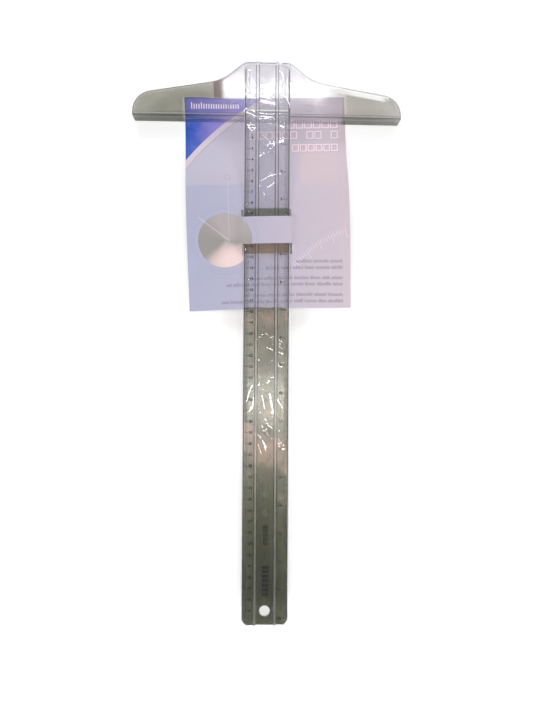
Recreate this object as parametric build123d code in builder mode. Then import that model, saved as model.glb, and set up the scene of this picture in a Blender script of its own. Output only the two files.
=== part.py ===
"""An 18 inch clear plastic T square as it hangs in a shop.

A moulded head with a fence holds a graduated blade. A sleeve of two clear films, welded along both sides, covers
the blade and the middle of the head. A printed display card is threaded on the blade through two slots: the band
of card between them passes over the blade, the rest of it passes under the blade and the fence.

Millimetres. +X runs along the head, +Y from the blade's free end towards the head's crown, +Z up off the drawing
board. The origin is where the blade's centreline meets the working edge, on the blade's underside.
"""

import os
from math import cos, radians, sin

from build123d import *

# Blade
BLADE_WIDTH = 41.3  # 1 5/8 in
BLADE_REACH = 462.6  # from the working edge to the free end
BLADE_SEAT = 48.0  # the length bonded into the head
BLADE_THICKNESS = 2.2
EDGE_THICKNESS = 1.0  # at the foot of the bevelled drawing edges
BEVEL_WIDTH = 4.0
RIB_WIDTH = 2.2
RIB_HEIGHT = 0.8
RIB_OFFSET = 9.0  # from the centreline
END_RADIUS = 5.7
HOLE_RADIUS = 4.8
HOLE_REACH = 450.0  # from the working edge

# Head
HEAD_LENGTH = 248.0  # 9 3/4 in
CROWN_HEIGHT = 51.0
CROWN_FLAT = 34.0
BROW_RADIUS = 12.0
BROW_ANGLE = 40.0  # how steeply the shoulder falls from the crown
SHOULDER_RUN = 11.5
COVE_RADIUS = 40.0
ARM_ANGLE = 9.65
TIP_RADIUS = 19.5
RIM_SLOPE = 2.6  # the sloping border all round the plate's top, in plan
RIM_DROP = 0.9  # and how far it falls to the outline
FENCE_DEPTH = 10.5  # below the blade's underside
FENCE_THICKNESS = 3.5
FENCE_ROUNDING = 0.7
PLATE_SETBACK = 0.4  # of the plate's front edge behind the working face
PAD_WIDTH = 49.0
PAD_THICKNESS = 1.6  # the floor under the seated end of the blade
SEAT_CLEARANCE = 0.1

# Sleeve of two welded films
FILM_THICKNESS = 0.1
FILM_GAP = 0.05
WELD_HALF_WIDTH = 22.0  # from the centreline to the edge of the side weld
WELD_HEIGHT = 0.5
FILM_OVERHANG = 8.0  # past the blade's free end
FILM_START = 2.4  # the welded part begins this far from the working edge
FILM_HEAD_REACH = 51.6
PUNCH_RADIUS = 5.6  # of both films, around the hang hole

# Display card
CARD_WIDTH = 151.0  # seen from above: a flat card of 6 by 8 inches, less what its bends take up
CARD_HEIGHT = 201.0
CARD_THICKNESS = 0.4
CARD_SHIFT = 1.0  # where the card's centre lies along X
CARD_MIDDLE = -76.1  # and along Y
CARD_TURN = 1.9  # degrees anticlockwise on the blade
CARD_CLEARANCE = 0.31  # to the sleeve and to the fence
SLOT_WIDTH = 45.6
FIRST_SLOT = -85.2  # the edge of the slot nearest the head
BAND_TOP = -92.5
BAND_BOTTOM = -117.3
LAST_SLOT = -126.5
BEND_START = -5.0  # the card leaves the fence's level here
BEND_END = -78.0  # and reaches the blade's underside here
BAND_FOOT = 25.0  # from the centreline to where the band joins the flat card

RIB_TOP = BLADE_THICKNESS + RIB_HEIGHT
TUBE_LENGTH = BLADE_REACH + FILM_OVERHANG - FILM_START

os.makedirs("parts", exist_ok=True)


# The blade's cross-section, used again to wrap the films and the card's band around it.
with BuildSketch(Plane.XZ) as blade_section:
    with BuildLine():
        Polyline(
            (0, 0),
            (BLADE_WIDTH / 2, 0),
            (BLADE_WIDTH / 2, EDGE_THICKNESS),
            (BLADE_WIDTH / 2 - BEVEL_WIDTH, BLADE_THICKNESS),
            (0, BLADE_THICKNESS),
            close=True,
        )
    make_face()
    mirror(about=Plane.YZ)
    with Locations((-RIB_OFFSET, BLADE_THICKNESS), (RIB_OFFSET, BLADE_THICKNESS)):
        Rectangle(RIB_WIDTH, RIB_HEIGHT, align=(Align.CENTER, Align.MIN))

with BuildPart() as blade:
    with BuildSketch(Plane.XZ.offset(-BLADE_SEAT)):
        add(blade_section.sketch_local)
    extrude(amount=BLADE_SEAT + BLADE_REACH)
    with BuildSketch():
        with Locations((0, (BLADE_SEAT - BLADE_REACH) / 2)):
            RectangleRounded(BLADE_WIDTH, BLADE_SEAT + BLADE_REACH, END_RADIUS)
    extrude(amount=RIB_TOP, mode=Mode.INTERSECT)
    with Locations((0, -HOLE_REACH, BLADE_THICKNESS)):
        Hole(HOLE_RADIUS)

blade.part.label = "blade"
export_step(blade.part, "parts/blade.step")


with BuildPart() as head:
    # The plate: crown, shoulder, cove, arm and rounded tip on one side, mirrored to the other.
    with BuildSketch():
        with BuildLine():
            crown = Line((0, CROWN_HEIGHT), (CROWN_FLAT / 2, CROWN_HEIGHT))
            brow = JernArc(crown @ 1, crown % 1, BROW_RADIUS, -BROW_ANGLE)
            shoulder = PolarLine(brow @ 1, SHOULDER_RUN, -BROW_ANGLE)
            cove = JernArc(shoulder @ 1, shoulder % 1, COVE_RADIUS, BROW_ANGLE - ARM_ANGLE)
            arm_run = HEAD_LENGTH / 2 - TIP_RADIUS * (1 - sin(radians(ARM_ANGLE))) - (cove @ 1).X
            arm = PolarLine(cove @ 1, arm_run / cos(radians(ARM_ANGLE)), -ARM_ANGLE)
            tip = JernArc(arm @ 1, arm % 1, TIP_RADIUS, ARM_ANGLE - 90)
            Polyline(tip @ 1, (HEAD_LENGTH / 2, PLATE_SETBACK), (0, PLATE_SETBACK), (0, CROWN_HEIGHT))
        make_face()
        mirror(about=Plane.YZ)
    extrude(amount=BLADE_THICKNESS)
    plate_top = faces().sort_by(Axis.Z)[-1]
    chamfer(plate_top.edges(), RIM_SLOPE, RIM_DROP, reference=plate_top)

    # The fence below it, whose front is the working face.
    with BuildSketch():
        with Locations((0, FENCE_THICKNESS / 2)):
            Rectangle(HEAD_LENGTH, FENCE_THICKNESS)
    extrude(amount=-FENCE_DEPTH)
    fillet(faces().sort_by(Axis.Z)[0].edges(), FENCE_ROUNDING)

    # The pad that the blade is bonded to, and the seat cut into the plate above it.
    with BuildSketch():
        with Locations((0, (FENCE_THICKNESS + CROWN_HEIGHT - RIM_SLOPE) / 2)):
            Rectangle(PAD_WIDTH, CROWN_HEIGHT - RIM_SLOPE - FENCE_THICKNESS)
    extrude(amount=-PAD_THICKNESS)
    with BuildSketch():
        with Locations((0, BLADE_SEAT + SEAT_CLEARANCE)):
            RectangleRounded(
                BLADE_WIDTH + 2 * SEAT_CLEARANCE,
                2 * (BLADE_SEAT + SEAT_CLEARANCE),
                END_RADIUS + SEAT_CLEARANCE,
                align=(Align.CENTER, Align.MAX),
            )
    extrude(amount=BLADE_THICKNESS, mode=Mode.SUBTRACT)

    # Two short ribs carry the blade's ribs on over the rim to the crown.
    with Locations((-RIB_OFFSET, CROWN_HEIGHT, RIB_TOP), (RIB_OFFSET, CROWN_HEIGHT, RIB_TOP)):
        Box(
            RIB_WIDTH,
            CROWN_HEIGHT - BLADE_SEAT - SEAT_CLEARANCE,
            RIM_DROP + RIB_HEIGHT,
            align=(Align.CENTER, Align.MAX, Align.MAX),
        )

head.part.label = "head"
export_step(head.part, "parts/head.step")


# The smallest loop around the blade's section, a little outside it: the sleeve's inner face.
with BuildSketch(Plane.XZ) as sleeve_inside:
    add(blade_section.sketch_local)
    make_hull()
    offset(amount=FILM_GAP, kind=Kind.INTERSECTION)

with BuildSketch(Plane.XZ) as sleeve_section:
    add(sleeve_inside.sketch_local)
    offset(amount=FILM_THICKNESS, kind=Kind.INTERSECTION)
    with Locations((0, WELD_HEIGHT)):
        Rectangle(2 * WELD_HALF_WIDTH, 2 * FILM_THICKNESS)
    add(sleeve_inside.sketch_local, mode=Mode.SUBTRACT)

# The front film: over the blade, and on over the middle of the head to the crown.
with BuildSketch(Plane.XZ) as lap_section:
    with BuildLine():
        lap = Polyline(
            (0, RIB_TOP + FILM_GAP),
            (RIB_OFFSET + RIB_WIDTH / 2, RIB_TOP + FILM_GAP),
            (WELD_HALF_WIDTH, BLADE_THICKNESS + FILM_GAP),
        )
        Polyline(
            lap @ 1,
            (WELD_HALF_WIDTH, BLADE_THICKNESS + FILM_GAP + FILM_THICKNESS),
            (RIB_OFFSET + RIB_WIDTH / 2, RIB_TOP + FILM_GAP + FILM_THICKNESS),
            (0, RIB_TOP + FILM_GAP + FILM_THICKNESS),
            lap @ 0,
        )
    make_face()
    mirror(about=Plane.YZ)

with BuildPart() as film_front:
    with BuildSketch(Plane.XZ.offset(FILM_START)):
        add(sleeve_section.sketch_local)
        with Locations((0, WELD_HEIGHT)):
            Rectangle(
                4 * WELD_HALF_WIDTH,
                WELD_HALF_WIDTH,
                align=(Align.CENTER, Align.MAX),
                mode=Mode.SUBTRACT,
            )
    extrude(amount=TUBE_LENGTH)
    with BuildSketch(Plane.XZ.offset(-FILM_HEAD_REACH)):
        add(lap_section.sketch_local)
    extrude(amount=FILM_HEAD_REACH + FILM_START + 1)
    with Locations((0, -HOLE_REACH, RIB_TOP)):
        Hole(PUNCH_RADIUS)

film_front.part.label = "film_front"
export_step(film_front.part, "parts/film_front.step")

# The back film lies under the blade only, and meets the front film in the two side welds.
with BuildPart() as film_back:
    with BuildSketch(Plane.XZ.offset(FILM_START)):
        add(sleeve_section.sketch_local)
        with Locations((0, WELD_HEIGHT)):
            Rectangle(
                4 * WELD_HALF_WIDTH,
                WELD_HALF_WIDTH,
                align=(Align.CENTER, Align.MIN),
                mode=Mode.SUBTRACT,
            )
    extrude(amount=TUBE_LENGTH)
    with Locations((0, -HOLE_REACH, WELD_HEIGHT)):
        Hole(PUNCH_RADIUS)

film_back.part.label = "film_back"
export_step(film_back.part, "parts/film_back.step")


card_top = -FILM_GAP - FILM_THICKNESS - CARD_CLEARANCE  # the card's upper face below the blade
card_low = -FENCE_DEPTH - CARD_CLEARANCE  # and below the fence
band_centre = (BAND_TOP + BAND_BOTTOM) / 2
slot_centre = (FIRST_SLOT + LAST_SLOT) / 2

# The band arches over the sleeved blade, square to it, and leaves room for either film to be drawn out under it.
with BuildSketch(Plane.XZ) as band_inside:
    add(sleeve_section.sketch_local)
    add(lap_section.sketch_local)
    with Locations((0, WELD_HEIGHT)):
        Rectangle(
            2 * WELD_HALF_WIDTH,
            WELD_HEIGHT + FILM_GAP + FILM_THICKNESS,
            align=(Align.CENTER, Align.MAX),
        )
    make_hull()
    offset(amount=CARD_CLEARANCE, kind=Kind.INTERSECTION)

with BuildPart() as band:
    with BuildSketch(Plane.XZ.offset(-FIRST_SLOT)):
        add(band_inside.sketch_local)
        offset(amount=CARD_THICKNESS, kind=Kind.INTERSECTION)
        with Locations((0, card_top)):
            Rectangle(2 * BAND_FOOT, CARD_THICKNESS, align=(Align.CENTER, Align.MAX))
        add(band_inside.sketch_local, mode=Mode.SUBTRACT)
        with Locations((0, card_top)):
            Rectangle(
                2 * (WELD_HALF_WIDTH + CARD_CLEARANCE),
                2 * CARD_THICKNESS,
                mode=Mode.SUBTRACT,
            )
    extrude(amount=FIRST_SLOT - LAST_SLOT)
    with BuildSketch():
        with Locations((0, band_centre)):
            Rectangle(CARD_WIDTH, BAND_TOP - BAND_BOTTOM, rotation=CARD_TURN)
    extrude(amount=4 * RIB_TOP, both=True, mode=Mode.INTERSECT)


def card_bend(height):
    """The card's line along Y, level under the fence, then rising to run level under the blade."""
    level = Line((CARD_HEIGHT / 2, card_low + height), (BEND_START, card_low + height))
    rise = Spline(
        level @ 1,
        (BEND_END, card_top + height),
        tangents=((-1, 0), (-1, 0)),
    )
    Line(rise @ 1, (-CARD_HEIGHT, card_top + height))


with BuildPart() as display_card:
    with BuildSketch(Plane.YZ):
        with BuildLine():
            card_bend(0)
            card_bend(-CARD_THICKNESS)
            Line((CARD_HEIGHT / 2, card_low), (CARD_HEIGHT / 2, card_low - CARD_THICKNESS))
            Line((-CARD_HEIGHT, card_top), (-CARD_HEIGHT, card_top - CARD_THICKNESS))
        make_face()
    extrude(amount=CARD_WIDTH, both=True)
    with BuildSketch():
        with Locations((CARD_SHIFT, CARD_MIDDLE)):
            Rectangle(CARD_WIDTH, CARD_HEIGHT, rotation=CARD_TURN)
        with Locations((0, slot_centre)):
            Rectangle(SLOT_WIDTH, FIRST_SLOT - LAST_SLOT, rotation=CARD_TURN, mode=Mode.SUBTRACT)
    extrude(amount=4 * FENCE_DEPTH, both=True, mode=Mode.INTERSECT)
    add(band.part)

display_card.part.label = "display_card"
export_step(display_card.part, "parts/display_card.step")
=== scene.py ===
"""The looks of an 18 inch clear T square in its film sleeve and on its printed display card.

Lengths here are millimetres, turned into metres where Blender needs them. The frame is the CAD model's: +X
along the head, +Y towards the crown, +Z up, origin on the working edge under the middle of the blade.
"""

import random
from math import cos, exp, hypot, pi, radians, sin

import bmesh
import bpy
import numpy as np
from mathutils import Matrix, Vector, noise


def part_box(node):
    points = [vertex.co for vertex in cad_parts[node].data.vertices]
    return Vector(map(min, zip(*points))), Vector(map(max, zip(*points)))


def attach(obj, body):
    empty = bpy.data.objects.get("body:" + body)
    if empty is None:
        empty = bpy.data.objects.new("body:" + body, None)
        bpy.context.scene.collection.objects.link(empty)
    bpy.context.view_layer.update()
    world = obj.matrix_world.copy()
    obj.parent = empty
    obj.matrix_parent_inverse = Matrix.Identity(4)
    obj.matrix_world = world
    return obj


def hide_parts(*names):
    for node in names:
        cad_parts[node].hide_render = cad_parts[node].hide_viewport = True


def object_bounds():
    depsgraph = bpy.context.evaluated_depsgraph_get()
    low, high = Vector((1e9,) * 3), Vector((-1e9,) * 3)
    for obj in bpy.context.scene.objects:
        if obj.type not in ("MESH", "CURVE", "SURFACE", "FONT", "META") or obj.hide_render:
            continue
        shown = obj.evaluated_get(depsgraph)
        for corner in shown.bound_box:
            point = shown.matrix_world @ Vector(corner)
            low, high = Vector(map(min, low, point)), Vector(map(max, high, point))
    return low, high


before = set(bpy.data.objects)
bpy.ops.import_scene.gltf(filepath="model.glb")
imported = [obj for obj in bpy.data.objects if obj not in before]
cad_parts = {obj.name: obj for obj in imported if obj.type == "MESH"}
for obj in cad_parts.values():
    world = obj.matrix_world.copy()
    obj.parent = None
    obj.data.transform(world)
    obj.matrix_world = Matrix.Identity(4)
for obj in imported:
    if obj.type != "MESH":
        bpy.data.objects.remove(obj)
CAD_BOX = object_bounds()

MM = 0.001


def size_of(node):
    """Lowest and highest corner of a CAD node, in millimetres."""
    low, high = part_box(node)
    return low / MM, high / MM


BLADE_LOW, BLADE_HIGH = size_of("blade")
FRONT_LOW, FRONT_HIGH = size_of("film_front")
BACK_LOW, BACK_HIGH = size_of("film_back")
LOWEST = CAD_BOX[0].z / MM
FLOOR = LOWEST - 0.02
INCH = 25.4

# Blade
BLADE_HALF = BLADE_HIGH.x
BLADE_END = BLADE_LOW.y
BLADE_TOP = 2.2
EDGE_TOP = 1.0
BEVEL = 4.0
RIB_MIDDLE = 9.0
RIB_HALF = 1.1
HOLE_Y = -450.0
PUNCH_RADIUS = 5.6

# Head: where the rounding at the fence's foot starts
FENCE_FOOT = (-9.9, -9.6)

# Sleeve: its corners are clipped below CLIPPED_CORNER, and its two films are welded below TUBE_START
FILM = 0.08
FILM_HALF = FRONT_HIGH.x
CLIPPED_CORNER = -461.0
WELD_TOP = 0.6
TUBE_START = -2.4

# Card, as it is seen from above, and its size before it is bent
CARD_WIDTH = 151.0
CARD_HEIGHT = 201.0
CARD_SHIFT = 1.0
CARD_MIDDLE = -76.1
CARD_TURN = radians(1.9)
CARD_THICK = 0.4
CARD_LOWEST = LOWEST + CARD_THICK + 0.01
CARD_UNDER_HEAD = -10.81
CARD_UNDER_BLADE = -0.46
BEND_START = -5.0
BEND_END = -78.0
SLOT_HALF = 22.8
SLOTS_TOP = -85.2
SLOTS_BOTTOM = -126.5
BAND_TOP = -92.5
BAND_BOTTOM = -117.3

# How thick printed ink lies on the blade and on the card
INK = 0.03


# ---------------------------------------------------------------- small helpers


def ramp(value, low, high):
    """0 below low, 1 above high, smooth between. high may be the smaller."""
    share = min(1.0, max(0.0, (value - low) / (high - low)))
    return share * share * (3 - 2 * share)


def on_line(x, line):
    """Straight-line value between (distance, value) points, by distance from the centreline."""
    distances, values = zip(*line)
    return float(np.interp(abs(x), distances, values))


def steps(low, high, size, marks=()):
    """Positions from low to high about size apart that include every mark."""
    stops = sorted({low, high, *[m for m in marks if low < m < high]})
    places = []
    for start, end in zip(stops, stops[1:]):
        count = max(1, round((end - start) / size))
        places += [start + (end - start) * i / count for i in range(count)]
    return places + [high]


def mesh_piece(name, points, faces, material, body=None, smooth=True):
    """A mesh object from points in millimetres."""
    mesh = bpy.data.meshes.new(name)
    mesh.from_pydata([(x * MM, y * MM, z * MM) for x, y, z in points], [], faces)
    mesh.validate()
    mesh.update()
    if smooth:
        mesh.shade_smooth()
    mesh.materials.append(material)
    piece = bpy.data.objects.new(name, mesh)
    bpy.context.scene.collection.objects.link(piece)
    if body:
        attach(piece, body)
    return piece


def slab(points, faces, corners, height):
    """Adds a patch of ink: corners is its outline (x, y), height(x, y) the surface it lies on."""
    start = len(points)
    count = len(corners)
    for lift in (0.0, INK):
        points += [(x, y, height(x, y) + lift) for x, y in corners]
    faces.append([start + count + i for i in range(count)])
    faces.append([start + i for i in reversed(range(count))])
    for i in range(count):
        after = (i + 1) % count
        faces.append([start + i, start + after, start + count + after, start + count + i])


def bar(x0, y0, x1, y1, width):
    """Corners of a straight stroke from one point to another."""
    length = hypot(x1 - x0, y1 - y0)
    nx, ny = -(y1 - y0) / length * width / 2, (x1 - x0) / length * width / 2
    return [(x0 - nx, y0 - ny), (x1 - nx, y1 - ny), (x1 + nx, y1 + ny), (x0 + nx, y0 + ny)]


def closed_sheet(columns, rows, kept):
    """A thin closed sheet over a grid of cells: its corners, each (column, row, under), and its faces.

    kept(column, row) says which cells are there. Each has an upper face, an under face, and a wall on every
    side where no cell follows.
    """
    numbers = {}
    faces = []

    def corner(i, j, under):
        return numbers.setdefault((i, j, under), len(numbers))

    def there(i, j):
        return 0 <= i < columns and 0 <= j < rows and kept(i, j)

    for i in range(columns):
        for j in range(rows):
            if not there(i, j):
                continue
            around = [(i, j), (i + 1, j), (i + 1, j + 1), (i, j + 1)]
            faces.append([corner(*spot, False) for spot in around])
            faces.append([corner(*spot, True) for spot in reversed(around)])
            sides = ((0, -1), (1, 0), (0, 1), (-1, 0))
            for (di, dj), first, second in zip(sides, around, around[1:] + around[:1]):
                if there(i + di, j + dj):
                    continue
                wall = ((first, False), (first, True), (second, True), (second, False))
                faces.append([corner(*spot, under) for spot, under in wall])
    return list(numbers), faces


# ---------------------------------------------------------------- shader arithmetic


class Field:
    """A number that varies over a surface, with arithmetic that makes Math nodes."""

    def __init__(self, tree, socket):
        self.tree = tree
        self.socket = socket

    def math(self, operation, *others):
        node = self.tree.nodes.new("ShaderNodeMath")
        node.operation = operation
        for slot, value in zip(node.inputs, (self, *others)):
            plug(self.tree, slot, value)
        return Field(self.tree, node.outputs[0])

    def __add__(self, other):
        return self.math("ADD", other)

    def __sub__(self, other):
        return self.math("SUBTRACT", other)

    def __mul__(self, other):
        return self.math("MULTIPLY", other)

    def __truediv__(self, other):
        return self.math("DIVIDE", other)

    def __abs__(self):
        return self.math("ABSOLUTE")

    def inverse(self):
        """1 minus this."""
        return (self * -1.0) + 1.0

    def power(self, exponent):
        return self.math("POWER", exponent)

    def either(self, other):
        """The larger of the two."""
        return self.math("MAXIMUM", other)

    def rise(self, low, high):
        """0 below low and 1 above high, smooth between."""
        node = self.tree.nodes.new("ShaderNodeMapRange")
        node.interpolation_type = "SMOOTHSTEP"
        plug(self.tree, node.inputs["Value"], self)
        node.inputs["From Min"].default_value = low
        node.inputs["From Max"].default_value = high
        return Field(self.tree, node.outputs["Result"])

    def fall(self, low, high):
        return self.rise(low, high).inverse()

    def near(self, middle, half, blur):
        """1 within half of middle, fading out over blur."""
        return abs(self - middle).fall(half, half + blur)


def plug(tree, socket, value):
    if isinstance(value, Field):
        tree.links.new(value.socket, socket)
    elif isinstance(value, bpy.types.NodeSocket):
        tree.links.new(value, socket)
    else:
        socket.default_value = value


class Material:
    """A material under construction, with the fields that its masks are made of."""

    def __init__(self, name):
        self.material = bpy.data.materials.new(name)
        self.material.use_nodes = True
        self.tree = self.material.node_tree
        self.tree.nodes.clear()
        self.output = self.tree.nodes.new("ShaderNodeOutputMaterial")
        coordinates = self.tree.nodes.new("ShaderNodeTexCoord")
        split = self.tree.nodes.new("ShaderNodeSeparateXYZ")
        self.tree.links.new(coordinates.outputs["Object"], split.inputs[0])
        self.place = coordinates.outputs["Object"]
        self.x, self.y, self.z = (Field(self.tree, s) * (1 / MM) for s in split.outputs)
        face = self.tree.nodes.new("ShaderNodeSeparateXYZ")
        self.tree.links.new(coordinates.outputs["Normal"], face.inputs[0])
        self.nx, self.ny, self.nz = (Field(self.tree, s) for s in face.outputs)

    def node(self, kind, **inputs):
        made = self.tree.nodes.new(kind)
        for name, value in inputs.items():
            plug(self.tree, made.inputs[name.replace("_", " ")], value)
        return made

    def noise(self, size, detail=2.0, stretch=(1, 1, 1)):
        """Noise from 0 to 1 whose lumps are about size millimetres across."""
        mapping = self.node("ShaderNodeMapping", Vector=self.place, Scale=stretch)
        scale = 1 / (size * MM)
        made = self.node("ShaderNodeTexNoise", Vector=mapping.outputs[0], Scale=scale, Detail=detail)
        return Field(self.tree, made.outputs["Fac"])

    def mix(self, first, second, share):
        """Colour first where share is 0, second where it is 1."""
        made = self.tree.nodes.new("ShaderNodeMix")
        made.data_type = "RGBA"
        plug(self.tree, made.inputs["Factor"], share)
        for slot, colour in (("A", first), ("B", second)):
            varies = isinstance(colour, bpy.types.NodeSocket)
            plug(self.tree, made.inputs[slot], colour if varies else (*colour, 1))
        return made.outputs["Result"]

    def scaled(self, colour, amount):
        """Colour times a field."""
        made = self.tree.nodes.new("ShaderNodeVectorMath")
        made.operation = "SCALE"
        plug(self.tree, made.inputs[0], colour)
        plug(self.tree, made.inputs["Scale"], amount)
        return made.outputs["Vector"]

    def blend(self, first, second, share):
        """Shader first where share is 0, second where it is 1."""
        made = self.tree.nodes.new("ShaderNodeMixShader")
        plug(self.tree, made.inputs[0], share)
        plug(self.tree, made.inputs[1], first)
        plug(self.tree, made.inputs[2], second)
        return made.outputs[0]

    def bump(self, height, distance):
        """Normal from a height field that spans distance millimetres."""
        return self.node("ShaderNodeBump", Height=height, Distance=distance * MM).outputs[0]

    def mirror_share(self):
        """How much a clear plastic face mirrors: 4% head on, all of it at grazing angles."""
        facing = self.node("ShaderNodeLayerWeight", Blend=0.5).outputs["Facing"]
        return Field(self.tree, facing).power(5.0) * 0.96 + 0.04

    def finish(self, surface):
        self.tree.links.new(surface, self.output.inputs["Surface"])
        return self.material


def linear(red, green, blue):
    """Linear colour from 8-bit display values."""

    def one(value):
        value /= 255
        return value / 12.92 if value <= 0.04045 else ((value + 0.055) / 1.055) ** 2.4

    return one(red), one(green), one(blue)


# ---------------------------------------------------------------- clear plastic

# Tints, by what is seen through the plastic. The photograph shows a dark table through it.
CLEAR = (0.985, 0.985, 0.99)
OVER_CARD = (0.985, 0.98, 1.0)
CROWN = (0.88, 0.865, 0.89)
SMOKE_LEFT = (0.66, 0.655, 0.61)
SMOKE_RIGHT = (0.76, 0.745, 0.72)
DARK_BAND = (0.50, 0.42, 0.43)
FENCE_FRONT = (0.97, 0.97, 0.985)
FENCE_BACK = (0.60, 0.61, 0.55)
FOOT_OVER_CARD = (0.80, 0.79, 0.84)
FOOT_OVER_BLUE = (0.28, 0.50, 0.78)
FOOT_OVER_TABLE = (0.40, 0.42, 0.34)
# Painted shade lines along the head's border
BORDER_PAINTED_SHADE = (0.38, 0.38, 0.40)
# Painted shadow line under the bead at the foot of the blade's seat
SEAT_PAINTED_SHADOW = (0.45, 0.45, 0.47)
SMOKE_UPPER = (0.66, 0.655, 0.60)
SMOKE_LOWER = (0.41, 0.42, 0.32)
SMOKE_END = (0.31, 0.32, 0.24)
BROWN_CLOUD = (0.90, 0.78, 0.72)
# Painted shade over the card's two slots, like the shaded ground seen through them
FIRST_SLOT_PAINTED_SHADE = (0.60, 0.62, 0.57)
LAST_SLOT_PAINTED_SHADE = (0.75, 0.61, 0.50)
# Painted shade lines at the blade's rib feet, bevels and edges
RIB_FOOT_PAINTED_SHADE = (0.30, 0.30, 0.30)
BEVEL_PAINTED_SHADE = (0.50, 0.50, 0.52)
BLADE_RIM_PAINTED_SHADE = (0.24, 0.25, 0.24)
SPECK = (0.25, 0.25, 0.22)
# Painted shade on the film where it stands steep
STEEP_FILM_PAINTED_SHADE = (0.92, 0.92, 0.94)
MILK = (0.8, 0.8, 0.8)


def clear_surface(made, tint, roughness, normal, haze, shine=1.0):
    """See-through plastic: tinted straight through, mirroring by angle, with a little milky haze."""
    through = made.node("ShaderNodeBsdfTransparent", Color=tint).outputs[0]
    milk = made.node("ShaderNodeBsdfDiffuse", Color=(*MILK, 1)).outputs[0]
    gloss = made.node("ShaderNodeBsdfGlossy", Color=(1, 1, 1, 1), Roughness=roughness, Normal=normal)
    surface = made.blend(through, milk, haze)
    return made.finish(made.blend(surface, gloss.outputs[0], made.mirror_share() * shine))


def head_tint(made):
    """Tint of the head's plate, and where it is smoky: on the arms and along the top of the shoulders."""
    arms = made.x.fall(-80, -74).either(made.x.rise(68, 75))
    left_shoulder = made.y.rise(16.2, 17.6) * made.x.fall(-44, -38)
    right_shoulder = made.y.rise(20.5, 22) * made.x.rise(56, 72) * 0.6
    smoke = arms.either(left_shoulder).either(right_shoulder)
    tone = made.mix(SMOKE_LEFT, SMOKE_RIGHT, made.x.rise(-20, 60))
    dark_band = (made.x + made.y * 0.1).near(-43.0, 3.4, 1.4) * left_shoulder
    tone = made.mix(tone, DARK_BAND, dark_band)
    crown = made.mix(CROWN, CLEAR, made.y.fall(24, 34))
    grain = made.noise(1.6, 3.0) * 0.12 + made.noise(14.0, 2.0) * 0.10 + 0.89
    return made.scaled(made.mix(crown, tone, smoke), grain), smoke


def tint_head_walls(made, tint, smoke):
    """Steep faces: the fence's foot is the darkest, its front stays light. Returns the front as well."""
    wall = abs(made.nz).fall(0.35, 0.8)
    front = wall * made.z.rise(*FENCE_FOOT) * made.y.fall(0.2, 0.6)
    back = wall * made.y.rise(0.6, 1.0)
    tint = made.mix(tint, FENCE_FRONT, front * smoke.inverse())
    tint = made.mix(tint, FENCE_BACK, back * (smoke * 0.65 + 0.2))
    foot = made.mix(FOOT_OVER_CARD, FOOT_OVER_BLUE, made.x.fall(-62, -30))
    foot = made.mix(foot, FOOT_OVER_TABLE, smoke)
    return made.mix(tint, foot, made.z.fall(*FENCE_FOOT)), front


def tint_head_border(made, tint, smoke):
    """The plate's border: painted shade lines where its slope starts and on its edge. Also returns the
    slope.
    """
    top = made.nz.rise(0.5, 0.7)
    brink = made.y.near(2.7, 0.22, 0.25) * top
    lip = made.z.near(1.45, 0.2, 0.2)
    slope = made.z.rise(1.5, 1.6) * made.z.fall(2.05, 2.15) * top
    # Painted shade lines along the border
    tint = made.mix(tint, BORDER_PAINTED_SHADE, (brink * 0.75).either(lip * 0.8))
    strip = made.y.fall(0.2, 1.4) * (made.x.fall(-10, 10) * 0.22 + 0.28)
    return made.scaled(tint, strip * smoke * -1.0 + 1.0), slope


def head_plastic():
    """Moulded head: clear over the card, smoky at the arms, with lines along its fence, painted shade lines
    along its rim, and a painted highlight with a painted shadow line at the foot of the blade's seat.
    """
    made = Material("clear_plastic_head")
    tint, smoke = head_tint(made)
    tint, front = tint_head_walls(made, tint, smoke)
    tint, slope = tint_head_border(made, tint, smoke)

    # Foot of the blade's seat: a painted highlight on a bead, as milky haze, with a painted shadow line
    # under it
    across = abs(made.x).fall(18.6, 19.6)
    bead = made.y.near(7.0, 0.45, 0.25) * across
    tint = made.mix(tint, SEAT_PAINTED_SHADOW, made.y.near(6.0, 0.2, 0.3) * across * 0.8)

    # A gleam along the top of the right arm
    gleam = (made.y + made.x * 0.17).near(36.7, 1.8, 0.9)
    gleam = gleam * made.x.rise(52, 84) * made.x.fall(104, 114)

    # Milky haze: a little on the border's slope and the fence's front, and painted highlights on the seat's
    # bead and along the right arm
    haze = (slope * 0.12).either(front * 0.05).either(bead * 0.9).either(gleam * 0.8) + 0.008
    ripple = made.bump(made.noise(32.0, 2.0), 0.13)
    return clear_surface(made, tint, slope * -0.08 + 0.12, ripple, haze)


def blade_smoke(made):
    """Tint of the blade below the card: darker towards its end, with two brown clouds."""
    smoke = made.mix(SMOKE_UPPER, SMOKE_LOWER, made.y.fall(-405, -290))
    upper_cloud = made.y.near(-186, 3, 12) * 0.8
    lower_cloud = (made.y + made.x * 0.5).near(-305, 9, 12)
    clouded = made.noise(20.0, 3.0) + upper_cloud.either(lower_cloud) * 0.30
    cloud = clouded.rise(0.50, 0.92) * made.y.rise(-420, -330)
    smoke = made.mix(smoke, BROWN_CLOUD, cloud * 0.8)
    return made.mix(smoke, SMOKE_END, made.y.fall(-450, -395))


def tint_slots(made, tint):
    """The bands of the blade that lie over the card's two slots, where no card is behind it: painted shade,
    darkened like the ground in shade seen through them.
    """
    turned = made.y + made.x * -0.025
    first = turned.near(-88.4, 3.7, 0.5)
    last = turned.near(-121.4, 4.3, 0.5)
    return made.mix(tint, made.mix(FIRST_SLOT_PAINTED_SHADE, LAST_SLOT_PAINTED_SHADE, last), first.either(last) * 0.9)


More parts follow.
